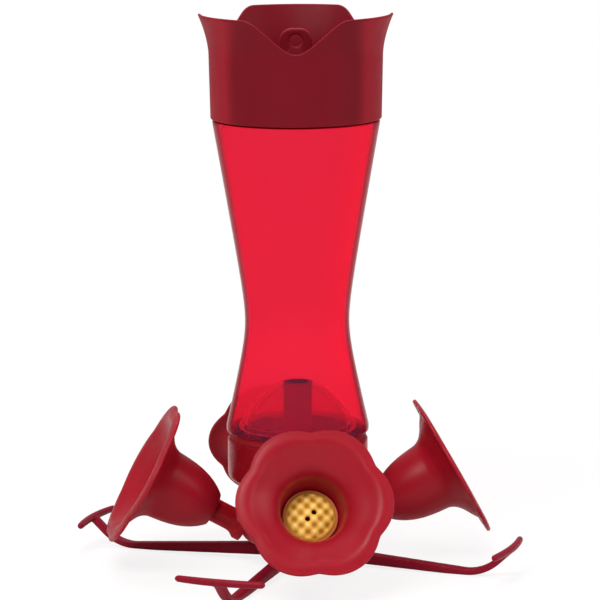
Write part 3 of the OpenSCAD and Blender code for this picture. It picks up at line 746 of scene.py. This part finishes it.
# Bee guards
def guard_skin(name, side):
    """Domed guard with a square lattice of pits, two of them bored through.

    Its tone is about 0.1 on a knob, 0.5 between, 0.9 in a pit and 1 at the rim; the knob and pit tones are
    painted highlight and painted shade.
    """
    columns, face_steps = 192, 48
    pit_depth, knob_h = 0.5, 0.3
    plain_rim, lattice_fade = 0.9, 1.0
    flange_top = GUARD_FLANGE - GUARD_DEPTH
    face_r = GUARD_R - 0.25
    ball_r = (GUARD_R**2 + GUARD_RISE**2) / (2 * GUARD_RISE)
    ball_z = flange_top + GUARD_RISE - ball_r
    turn = radians(LATTICE_TURN)

    def lattice(x, y):
        """From -1 on a knob to 1 in a pit, 0 outside the lattice."""
        u = x * cos(turn) + y * sin(turn)
        v = -x * sin(turn) + y * cos(turn)
        wave = (cos(tau * (u / LATTICE + 0.5)) + cos(tau * v / LATTICE)) / 2
        return wave * min(1.0, max(0.0, (GUARD_R - plain_rim - hypot(x, y)) / lattice_fade))

    def relief(x, y):
        wave = lattice(x, y)
        return -pit_depth * wave**1.2 if wave > 0 else knob_h * (-wave) ** 1.3

    def circle(r, z, raised=None):
        """Ring of points, or one point where r is 0."""
        if r == 0:
            return [(0.0, 0.0, z + (raised(0, 0) if raised else 0.0))]
        ring = []
        for i in range(columns):
            x, y = r * cos(tau * i / columns), r * sin(tau * i / columns)
            ring.append((x, y, z + (raised(x, y) if raised else 0.0)))
        return ring

    hollow_r = PLUG_R - GUARD_WALL
    low = -GUARD_DEPTH - PLUG_L
    under_r = ball_r - GUARD_WALL
    edge = rounded([(face_r, flange_top + 0.1), (GUARD_R, flange_top - 0.1, 0.1),
                    (GUARD_R, -GUARD_DEPTH, 0.2), (PLUG_R, -GUARD_DEPTH, 0.15), (PLUG_R, low, 0.3),
                    (hollow_r, low, 0.3), (hollow_r, -GUARD_DEPTH)], closed=False)[1:-1]
    inside = [(r, ball_z + sqrt(under_r**2 - r * r)) for r in (hollow_r, 5.5, 3.7, 1.8, 0.0)]
    rings = []
    for k in range(face_steps + 1):
        r = face_r * k / face_steps
        rings.append(circle(r, ball_z + sqrt(ball_r**2 - r * r), relief))
    rings += [circle(r, z) for r, z in edge + inside]
    guard = piece(name, skin(rings), port(side), FLOWER_SHARP)
    holes = []
    for shift in (-LATTICE / 2, LATTICE / 2):
        place = port(side) @ about_z(LATTICE_TURN) @ Matrix.Translation((shift, 0, 0))
        holes.append(piece("hole_tool", bar(FEED_R, -GUARD_DEPTH - 1, 0, HOLE_COLUMNS), place))
    combine(guard, holes, "DIFFERENCE", FLOWER_SHARP)

    # The tone paints a highlight on the knobs and shade in the pits, and gives the rim its pink-orange
    rim_w, rim_fade = 2.0, 1.5
    back = port(side).inverted()
    tone = guard.data.attributes.new("tone", "FLOAT", "POINT")
    for vertex, value in zip(guard.data.vertices, tone.data):
        x, y, _ = back @ (vertex.co / MM)
        rim = min(1.0, max(0.0, (hypot(x, y) - GUARD_R + rim_w) / rim_fade))
        value.value = (0.5 + 0.4 * lattice(x, y)) * (1 - rim) + rim
    return guard


# Cap
def off_petal(a):
    """Angle in degrees from the middle of the nearest petal."""
    return abs((a + 60) % 120 - 60)


def raw_crown_top(a):
    """Height of the crown's edge: flat petals with V notches between them, softened at the bottom."""
    petal_z = CAP_FLOOR_Z + CAP_FLOOR + CUP_H
    u = min(1.0, (60 - off_petal(a)) / NOTCH_HALF)
    soft = 0.25
    side = (sqrt(soft * soft + u * u) - soft) / (sqrt(soft * soft + 1) - soft)
    return petal_z - NOTCH_DEPTH * (1 - side)


def crown_top(a):
    """Height of the crown's edge, its corners rounded by a mean over nearby angles."""
    spread, reach = 4.5, 5
    return sum(raw_crown_top(a + spread * k / reach) for k in range(-reach, reach + 1)) / (2 * reach + 1)


def crown_radius(z):
    cup_z = CAP_FLOOR_Z + CAP_FLOOR
    crown_z = cup_z + FLARE_UP
    up = max(0.0, z - crown_z) / (cup_z + CUP_H - crown_z)
    return CAP_R + CAP_TAPER + CROWN_FLARE * up**1.7


def cap_section(a):
    """Outline of the cap at a degrees: cup floor, inside wall, edge, outside wall, skirt and sleeve."""
    cup_z = CAP_FLOOR_Z + CAP_FLOOR
    crown_z = cup_z + FLARE_UP
    top = crown_top(a)
    edge_share = 0.7
    edge_h = 0.5
    rows, skirt_rows = 26, 8

    def outside(z):
        if z < crown_z:
            return CAP_R + CAP_TAPER * (z - CAP_Z) / (crown_z - CAP_Z)
        return crown_radius(z)

    def wall(z):
        """Thickness, which falls to edge_share of the full one at the edge."""
        return CAP_WALL * (1 - (1 - edge_share) * max(0.0, z - crown_z) / (top - crown_z))

    floor = [(r, cup_z) for r in (0.0, 8.0, 16.0, 23.0)]
    corner_r = 2.2
    corner_z = cup_z + corner_r
    corner_middle_r = CAP_R + CAP_TAPER * 0.7 - CAP_WALL - corner_r
    corner = [(corner_middle_r + corner_r * sin(b), corner_z - corner_r * cos(b))
              for b in (radians(d) for d in range(0, 90, 15))]
    heights = [corner_z + (top - edge_h - corner_z) * k / rows for k in range(rows + 1)]
    inside = [(outside(z) - wall(z), z) for z in heights]
    last_in, last_out = inside[-1][0], outside(heights[-1])
    middle, half = (last_in + last_out) / 2, (last_out - last_in) / 2
    edge = [(middle - half * cos(b) + 0.1 * sin(b), heights[-1] + edge_h * sin(b))
            for b in (radians(d) for d in range(20, 180, 20))]
    outer = [(outside(z), z) for z in reversed(heights)]
    skirt_z = CAP_Z + 0.5
    skirt_heights = [corner_z - (corner_z - skirt_z) * k / skirt_rows for k in range(1, skirt_rows + 1)]
    skirt = [(outside(z), z) for z in skirt_heights]
    skirt_in = CAP_R - CAP_WALL
    low = rounded([(outside(skirt_z), skirt_z), (CAP_R, CAP_Z, 0.45), (skirt_in, CAP_Z, 0.45),
                   (skirt_in, CAP_Z + 0.6)], closed=False)[1:-1]
    sleeve_z = CAP_Z + 2
    sleeve_r = SLEEVE_IN_R + SLEEVE_WALL
    under = rounded([(skirt_in, CAP_Z + 0.6), (skirt_in + 0.3, CAP_FLOOR_Z, 1.2),
                     (sleeve_r, CAP_FLOOR_Z, 0.8), (sleeve_r, sleeve_z, 0.4), (SLEEVE_IN_R, sleeve_z, 0.4),
                     (SLEEVE_IN_R, sleeve_z + 1)], closed=False)
    bore = line((SLEEVE_IN_R, sleeve_z + 1.3), (SLEEVE_IN_R, CAP_FLOOR_Z - 0.4), 0.3)
    roof = [(r, CAP_FLOOR_Z) for r in (SLEEVE_IN_R - 0.1, 15.0, 7.0, 0.0)]
    return floor + corner + inside + edge + outer + skirt + low + under + bore + roof


def eye_shape():
    """Arched hanging eye, with a round hole, rounded edges and a flared root."""
    hole_z = CAP_FLOOR_Z + CAP_FLOOR + EYE_UP
    half_w, half_t = EYE_W / 2, EYE_T / 2
    round_r = EYE_HOLE_R + EYE_OVER
    flat = half_w - round_r
    root = EYE_UP + 0.8
    root_fade, root_thicker, root_wider = 1.1, 0.9, 0.25
    edge, edge_steps, columns = 0.7, 6, 96
    section = []
    for k in range(edge_steps + 1):
        b = pi / 2 * k / edge_steps
        section.append((edge * (1 - sin(b)), half_t - edge * (1 - cos(b))))
    rings = []
    for i in range(columns):
        a = tau * (i + 0.5) / columns
        c, s = cos(a), sin(a)
        if s < 0:
            far = min(half_w / max(1e-6, abs(c)), root / -s)
        elif round_r * abs(c) < flat * s:
            far = round_r / s
        else:
            far = flat * abs(c) + sqrt(round_r**2 - (flat * s) ** 2)
        loop = [(EYE_HOLE_R + cut_in, y) for cut_in, y in reversed(section)]
        loop += [(far - cut_in, y) for cut_in, y in section]
        loop += [(far - cut_in, -y) for cut_in, y in reversed(section)]
        loop += [(EYE_HOLE_R + cut_in, -y) for cut_in, y in section]
        ring = []
        for reach, y in loop:
            z = reach * s
            near_root = exp(-max(0.0, z + EYE_UP) / root_fade)
            ring.append((reach * c * (1 + root_wider * near_root), y * (1 + root_thicker * near_root),
                         hole_z + z))
        rings.append(ring)
    return skin(rings, wrap=True)


def cap_skin(name):
    columns = 288
    sections = [cap_section(360 * i / columns) for i in range(columns)]
    ridge = helix(SLEEVE_IN_R, CAP_Z + 3, CAP_FLOOR_Z - 0.8, -0.55, 0.5)
    rings = []
    for k, (first_r, first_z) in enumerate(sections[0]):
        if first_r < 1e-6:
            rings.append([(0.0, 0.0, first_z)])
            continue
        ring = []
        for i in range(columns):
            a = tau * i / columns
            r, z = sections[i][k]
            r += ridge(a, r, z)
            ring.append((r * cos(a), r * sin(a), z))
        rings.append(ring)
    cap = piece(name, skin(rings), about_z(90 + CROWN_TURN))
    eye = piece("eye_tool", eye_shape(), about_z(CROWN_TURN))
    return combine(cap, [eye], "UNION")


# Washer, seals and O-ring
def washer_shape(r_in, r_out, low, high, edge, columns=96):
    corners = [(r_in, low, edge), (r_out, low, edge), (r_out, high, edge), (r_in, high, edge)]
    return turned(rounded(corners), columns)


def o_ring_shape():
    """O-ring squeezed into the shaft's groove against the bearing."""
    points = 20
    middle_r = BEARING_R - RING_WIRE_R - 0.01
    wire = [(middle_r + RING_WIRE_R * cos(tau * k / points), RING_Z + RING_WIRE_R * sin(tau * k / points))
            for k in range(points)]
    return turned(wire, SMALL_COLUMNS)


# Materials
WHITE = (1, 1, 1, 1)
FLOW_DARK, FLOW_LIGHT = 0.93, 1.07
GRAIN_DEPTH = 0.0002


def shader(nodes, kind, **values):
    node = nodes.new(kind)
    for key, value in values.items():
        node.inputs[key.replace("_", " ")].default_value = value
    return node


def srgb(r, g, b):
    """Linear colour of a displayed colour given as 0 to 255."""
    def linear(v):
        v /= 255
        return v / 12.92 if v <= 0.04045 else ((v + 0.055) / 1.055) ** 2.4
    return linear(r), linear(g), linear(b), 1.0


def scaled(colour, factor):
    return tuple(c * factor for c in colour[:3]) + (1.0,)


def ranged(nodes, links, socket, low, high, start, finish, smooth=False):
    """Socket that goes from start to finish while the given one goes from low to high."""
    node = nodes.new("ShaderNodeMapRange")
    node.interpolation_type = "SMOOTHSTEP" if smooth else "LINEAR"
    for key, value in (("From Min", low), ("From Max", high), ("To Min", start), ("To Max", finish)):
        node.inputs[key].default_value = value
    links.new(socket, node.inputs["Value"])
    return node.outputs["Result"]


def blend(nodes, links, factor, a, b):
    """Colour between a and b, which are colours or sockets."""
    node = nodes.new("ShaderNodeMix")
    node.data_type = "RGBA"
    links.new(factor, node.inputs[0])
    for socket, value in ((node.inputs[6], a), (node.inputs[7], b)):
        if isinstance(value, tuple):
            socket.default_value = value
        else:
            links.new(value, socket)
    return node.outputs[2]


def mixed(nodes, links, factor, a, b):
    """Surface between those of two shader nodes; factor is a number or a socket."""
    node = nodes.new("ShaderNodeMixShader")
    if isinstance(factor, float):
        node.inputs[0].default_value = factor
    else:
        links.new(factor, node.inputs[0])
    links.new(a.outputs[0], node.inputs[1])
    links.new(b.outputs[0], node.inputs[2])
    return node.outputs[0]


def mesh_tone(nodes):
    attribute = nodes.new("ShaderNodeAttribute")
    attribute.attribute_name = "tone"
    return attribute.outputs["Fac"]


def empty_material(name):
    """New material, its nodes and links, and its surface, with nothing on it yet."""
    mat = bpy.data.materials.new(name)
    mat.use_nodes = True
    nodes, links = mat.node_tree.nodes, mat.node_tree.links
    nodes.clear()
    return mat, nodes, links, nodes.new("ShaderNodeOutputMaterial").inputs["Surface"]


def plastic(name, colour, tint=None, clear=0.0, rough=(0.2, 0.3), bump=0.02, specular=0.15,
            fade=(0.55, 1.0, 0.25), side=None, tones=None):
    """Moulded plastic: faint colour flow, uneven gloss and a fine moulded grain.

    clear is the share of light that passes each face, coloured by tint, and fade gives the facings between
    which it falls and the part of it that is left. side is a second colour with the facings between which it
    takes over towards the outline: painted light or painted shade, set by facing and not by the lamps. tones
    are the colours at 0.1, 0.5, 0.85 and 1 of the mesh's tone, in place of colour, and may paint light and
    shade.
    """
    mat, nodes, links, surface = empty_material(name)
    place = nodes.new("ShaderNodeTexCoord")
    flow = shader(nodes, "ShaderNodeTexNoise", Scale=45.0, Detail=3.0, Roughness=0.55, Distortion=0.6)
    gloss = shader(nodes, "ShaderNodeTexNoise", Scale=160.0, Detail=4.0, Roughness=0.6)
    fine = shader(nodes, "ShaderNodeTexNoise", Scale=1500.0, Detail=2.0, Roughness=0.5)
    for noise in (flow, gloss, fine):
        links.new(place.outputs["Object"], noise.inputs["Vector"])
    facing = shader(nodes, "ShaderNodeLayerWeight", Blend=0.5).outputs["Facing"]

    def flowing(base):
        return blend(nodes, links, flow.outputs["Fac"], scaled(base, FLOW_DARK), scaled(base, FLOW_LIGHT))

    tone = flowing(colour)
    # Painted light or shade: the side colour takes over by facing towards the outline
    if side:
        painted_edge_colour, start, finish = side
        share = ranged(nodes, links, facing, start, finish, 0, 1, True)
        tone = blend(nodes, links, share, tone, flowing(painted_edge_colour))
    # The tone colours replace the body colour; on the guard they paint a highlight on the knobs and shade in
    # the pits
    if tones:
        ramp = nodes.new("ShaderNodeValToRGB")
        points = ramp.color_ramp.elements
        points[0].position, points[1].position = 0.1, 1.0
        for position in (0.5, 0.85):
            points.new(position)
        for point, value in zip(points, tones):
            point.color = value
        links.new(mesh_tone(nodes), ramp.inputs[0])
        tone = ramp.outputs[0]
    body = nodes.new("ShaderNodeBsdfPrincipled")
    body.inputs["Specular IOR Level"].default_value = specular
    links.new(tone, body.inputs["Base Color"])
    links.new(ranged(nodes, links, gloss.outputs["Fac"], 0.3, 0.7, *rough), body.inputs["Roughness"])
    raised = shader(nodes, "ShaderNodeBump", Strength=bump, Distance=GRAIN_DEPTH)
    links.new(fine.outputs["Fac"], raised.inputs["Height"])
    links.new(raised.outputs["Normal"], body.inputs["Normal"])
    if clear <= 0:
        links.new(body.outputs[0], surface)
        return mat
    through = shader(nodes, "ShaderNodeBsdfTransparent", Color=tint)
    start, finish, left = fade
    share = ranged(nodes, links, facing, start, finish, clear, clear * left, True)
    links.new(mixed(nodes, links, share, body, through), surface)
    return mat


def hazy(mat, glow, share):
    """Gives the inner wall, where the mesh's tone is 1, a haze that hides what lies behind the bottle.

    The near wall's inside is seen from its back and stays clear, so that what is in the bottle shows.
    """
    nodes, links = mat.node_tree.nodes, mat.node_tree.links
    surface = next(node for node in nodes if node.type == "OUTPUT_MATERIAL").inputs["Surface"]
    outer = surface.links[0].from_node
    milk = shader(nodes, "ShaderNodeBsdfTranslucent", Color=glow)
    clear = shader(nodes, "ShaderNodeBsdfTransparent", Color=WHITE)
    far = mixed(nodes, links, share, clear, milk).node
    back = nodes.new("ShaderNodeNewGeometry").outputs["Backfacing"]
    inner = mixed(nodes, links, back, far, clear).node
    links.new(mixed(nodes, links, mesh_tone(nodes), outer, inner), surface)
    return mat


def metal(name, colour):
    """Zinc-plated steel with fine turned marks."""
    mat = bpy.data.materials.new(name)
    mat.use_nodes = True
    nodes, links = mat.node_tree.nodes, mat.node_tree.links
    body = nodes["Principled BSDF"]
    body.inputs["Metallic"].default_value = 1.0
    place = nodes.new("ShaderNodeTexCoord")
    noise = shader(nodes, "ShaderNodeTexNoise", Scale=900.0, Detail=3.0, Roughness=0.6)
    links.new(place.outputs["Object"], noise.inputs["Vector"])
    marks = noise.outputs["Fac"]
    tone = blend(nodes, links, marks, scaled(colour, 0.85), scaled(colour, 1.1))
    links.new(tone, body.inputs["Base Color"])
    links.new(ranged(nodes, links, marks, 0, 1, 0.25, 0.45), body.inputs["Roughness"])
    return mat


def dress(obj, body, nodes, mat):
    """Gives a piece its material, hangs it under its body's empty and hides the CAD nodes it replaces."""
    obj.data.materials.clear()
    obj.data.materials.append(mat)
    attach(obj, body)
    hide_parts(*nodes)


# Cap side colour: painted light, lighter towards the outline where light shows through the wall
cap_plastic = plastic("cap_plastic", srgb(106, 13, 25), tint=(0.8, 0.10, 0.14, 1), clear=0.1,
                      rough=(0.42, 0.52), specular=0.08, side=(srgb(142, 22, 36), 0.28, 0.46))
# Bottle side colour: painted shade, darker red towards the outline
bottle_plastic = plastic("bottle_plastic", srgb(203, 88, 132), tint=(0.93, 0.16, 0.26, 1), clear=0.9,
                         rough=(0.1, 0.16), specular=0.03, fade=(0.5, 0.8, 0.05),
                         side=(srgb(150, 8, 32), 0.45, 0.68))
hazy(bottle_plastic, (1.0, 0.05, 0.12, 1), 0.8)
# Base side colour: painted highlight, a lighter pink-red band towards the outline
base_plastic = plastic("base_plastic", srgb(144, 16, 28), tint=(0.8, 0.08, 0.12, 1), clear=0.35,
                       rough=(0.22, 0.34), side=(srgb(206, 56, 68), 0.66, 0.9))
dome_plastic = plastic("dome_plastic", srgb(255, 150, 160), tint=(0.99, 0.95, 0.96, 1), clear=0.88,
                       rough=(0.3, 0.4), specular=0.05)
rotor_plastic = plastic("rotor_plastic", srgb(60, 3, 9), rough=(0.3, 0.4))
perch_plastic = plastic("perch_plastic", srgb(126, 15, 35), rough=(0.34, 0.46), specular=0.08)
flower_plastic = plastic("flower_plastic", srgb(153, 18, 34), tint=(0.85, 0.1, 0.15, 1), clear=0.15,
                         rough=(0.32, 0.44), specular=0.18)
# Guard tones: painted highlight on the knobs, yellow between, painted shade in the pits, pink-orange at the
# rim
guard_plastic = plastic("guard_plastic", srgb(214, 158, 74), rough=(0.4, 0.5), bump=0.08, tones=(
    srgb(255, 218, 128), srgb(226, 172, 70), srgb(172, 116, 32), srgb(220, 134, 92)))
seal_rubber = plastic("seal_rubber", srgb(134, 18, 30), rough=(0.55, 0.7), bump=0.15)
ring_rubber = plastic("ring_rubber", srgb(30, 30, 32), rough=(0.5, 0.65), bump=0.15)
steel = metal("hardware_steel", (0.62, 0.62, 0.64, 1))

# Pieces
bottle = piece("bottle_moulding", bottle_skin())
mark_inner_wall(bottle)
dress(bottle, "bottle", ["bottle"], bottle_plastic)
dress(cap_skin("cap_moulding"), "cap", ["cap"], cap_plastic)
dress(hub_skin("hub_moulding"), "base", ["base_hub"], base_plastic)
dress(dome_skin("dome_moulding"), "base", ["valve_dome"], dome_plastic)
dress(rotor_skin("rotor_moulding"), "perches", ["valve_rotor"], rotor_plastic)
dress(spider_skin("perch_moulding"), "perches", ["perch_spider"], perch_plastic)
dress(screw_skin("screw_turning"), "perches", ["perch_screw"], steel)
washer = washer_shape(SCREW_HOLE_R, 4.6, WASHER_Z, DRIVE_Z, 0.12)
dress(piece("washer_disc", washer), "perches", ["perch_washer"], steel)
dress(piece("o_ring_loop", o_ring_shape()), "perches", ["shaft_o_ring"], ring_rubber)
foot_seal = washer_shape(LOWER_NECK_R + 0.05, COLLAR_R - 0.6, HUB_TOP, FOOT_Z, 0.35, MID_COLUMNS)
dress(piece("foot_seal_ring", foot_seal), "foot_seal", ["foot_gasket"], seal_rubber)
cap_seal = washer_shape(NECK_R - NECK_WALL, SLEEVE_IN_R - BODY_GAP, NECK_TOP, CAP_FLOOR_Z, 0.3, MID_COLUMNS)
dress(piece("cap_seal_ring", cap_seal), "cap_seal", ["cap_gasket"], seal_rubber)
for side in SIDES:
    flower = flower_skin(f"bloom_{side}", side)
    dress(flower, "base", [f"flower_{side}"], flower_plastic)
    guard = guard_skin(f"grid_{side}", side)
    dress(guard, f"guard_{side}", [f"guard_{side}"], guard_plastic)


# Studio
def paper(name):
    """White sheet: plain paper to the object, white with a faint shadow to the camera."""
    shadow_r, white_r = 0.14, 0.34
    mat, nodes, links, surface = empty_material(name)
    sheet = shader(nodes, "ShaderNodeBsdfDiffuse", Color=(0.8, 0.8, 0.8, 1))
    shade = shader(nodes, "ShaderNodeBsdfDiffuse", Color=(0.15, 0.135, 0.135, 1))
    glow = shader(nodes, "ShaderNodeEmission", Color=WHITE, Strength=0.83)
    near = nodes.new("ShaderNodeAddShader")
    links.new(shade.outputs[0], near.inputs[0])
    links.new(glow.outputs[0], near.inputs[1])
    far = shader(nodes, "ShaderNodeEmission", Color=WHITE, Strength=1.0)
    place = nodes.new("ShaderNodeTexCoord")
    length = nodes.new("ShaderNodeVectorMath")
    length.operation = "LENGTH"
    links.new(place.outputs["Object"], length.inputs[0])
    distance = ranged(nodes, links, length.outputs["Value"], shadow_r, white_r, 0, 1, True)
    seen = mixed(nodes, links, distance, near, far).node
    camera_ray = nodes.new("ShaderNodeLightPath").outputs["Is Camera Ray"]
    links.new(mixed(nodes, links, camera_ray, sheet, seen), surface)
    return mat


def studio_world():
    """White to the camera, and an even soft light on the object."""
    world = bpy.data.worlds.new("studio_world")
    bpy.context.scene.world = world
    world.use_nodes = True
    nodes, links = world.node_tree.nodes, world.node_tree.links
    nodes.clear()
    out = nodes.new("ShaderNodeOutputWorld")
    seen = shader(nodes, "ShaderNodeBackground", Color=WHITE, Strength=1.0)
    room = shader(nodes, "ShaderNodeBackground", Color=WHITE, Strength=0.45)
    path = nodes.new("ShaderNodeLightPath")
    either = nodes.new("ShaderNodeMath")
    either.operation = "MAXIMUM"
    links.new(path.outputs["Is Camera Ray"], either.inputs[0])
    links.new(path.outputs["Is Transmission Ray"], either.inputs[1])
    links.new(mixed(nodes, links, either.outputs[0], room, seen), out.inputs["Surface"])


def lamp(name, azimuth, elevation, distance, size, power):
    data = bpy.data.lights.new(name, "AREA")
    data.shape = "RECTANGLE"
    data.size, data.size_y = size
    data.energy = power
    obj = bpy.data.objects.new(name, data)
    a, e = radians(azimuth), radians(elevation)
    back = Vector((sin(a) * cos(e), -cos(a) * cos(e), sin(e)))
    target = Vector((0, 0, 0.09))
    obj.location = target + back * distance
    obj.rotation_euler = (-back).to_track_quat("-Z", "Y").to_euler()
    bpy.context.scene.collection.objects.link(obj)


def studio():
    scene = bpy.context.scene
    scene.view_settings.view_transform = "Standard"
    size = 3.0
    verts = [(-size, -size, 0), (size, -size, 0), (size, size, 0), (-size, size, 0)]
    mesh = bpy.data.meshes.new("studio_floor")
    mesh.from_pydata(verts, [], [(0, 1, 2, 3)])
    floor = bpy.data.objects.new("studio_floor", mesh)
    floor.data.materials.append(paper("studio_paper"))
    scene.collection.objects.link(floor)
    studio_world()
    lamp("key_softbox", azimuth=-32, elevation=48, distance=0.9, size=(0.45, 0.45), power=7.0)
    lamp("fill_softbox", azimuth=60, elevation=25, distance=1.1, size=(0.6, 0.6), power=4.0)
    lamp("top_softbox", azimuth=180, elevation=70, distance=1.0, size=(0.7, 0.5), power=5.0)


def camera():
    """The photograph's view; distance, height and turn were fitted to the feeder's outline in it."""
    distance, elevation, azimuth = 1.380, radians(9.44), radians(-6)
    focal_px, frame_px = 3836.0, 600.0
    centre_px = (297.0, 290.0)
    target = Vector((0, 0, 0.1))
    data = bpy.data.cameras.new("camera")
    data.sensor_width = 36.0
    data.lens = focal_px / frame_px * data.sensor_width
    data.shift_x = (frame_px / 2 - centre_px[0]) / frame_px
    data.shift_y = -(frame_px / 2 - centre_px[1]) / frame_px
    data.clip_start, data.clip_end = 0.05, 20
    obj = bpy.data.objects.new("camera", data)
    back = Vector((sin(azimuth) * cos(elevation), -cos(azimuth) * cos(elevation), sin(elevation)))
    obj.location = target + back * distance
    roll = Matrix.Rotation(radians(-0.3), 3, "Z")
    obj.rotation_euler = ((-back).to_track_quat("-Z", "Y").to_matrix() @ roll).to_euler()
    bpy.context.scene.collection.objects.link(obj)
    bpy.context.scene.camera = obj


studio()
camera()
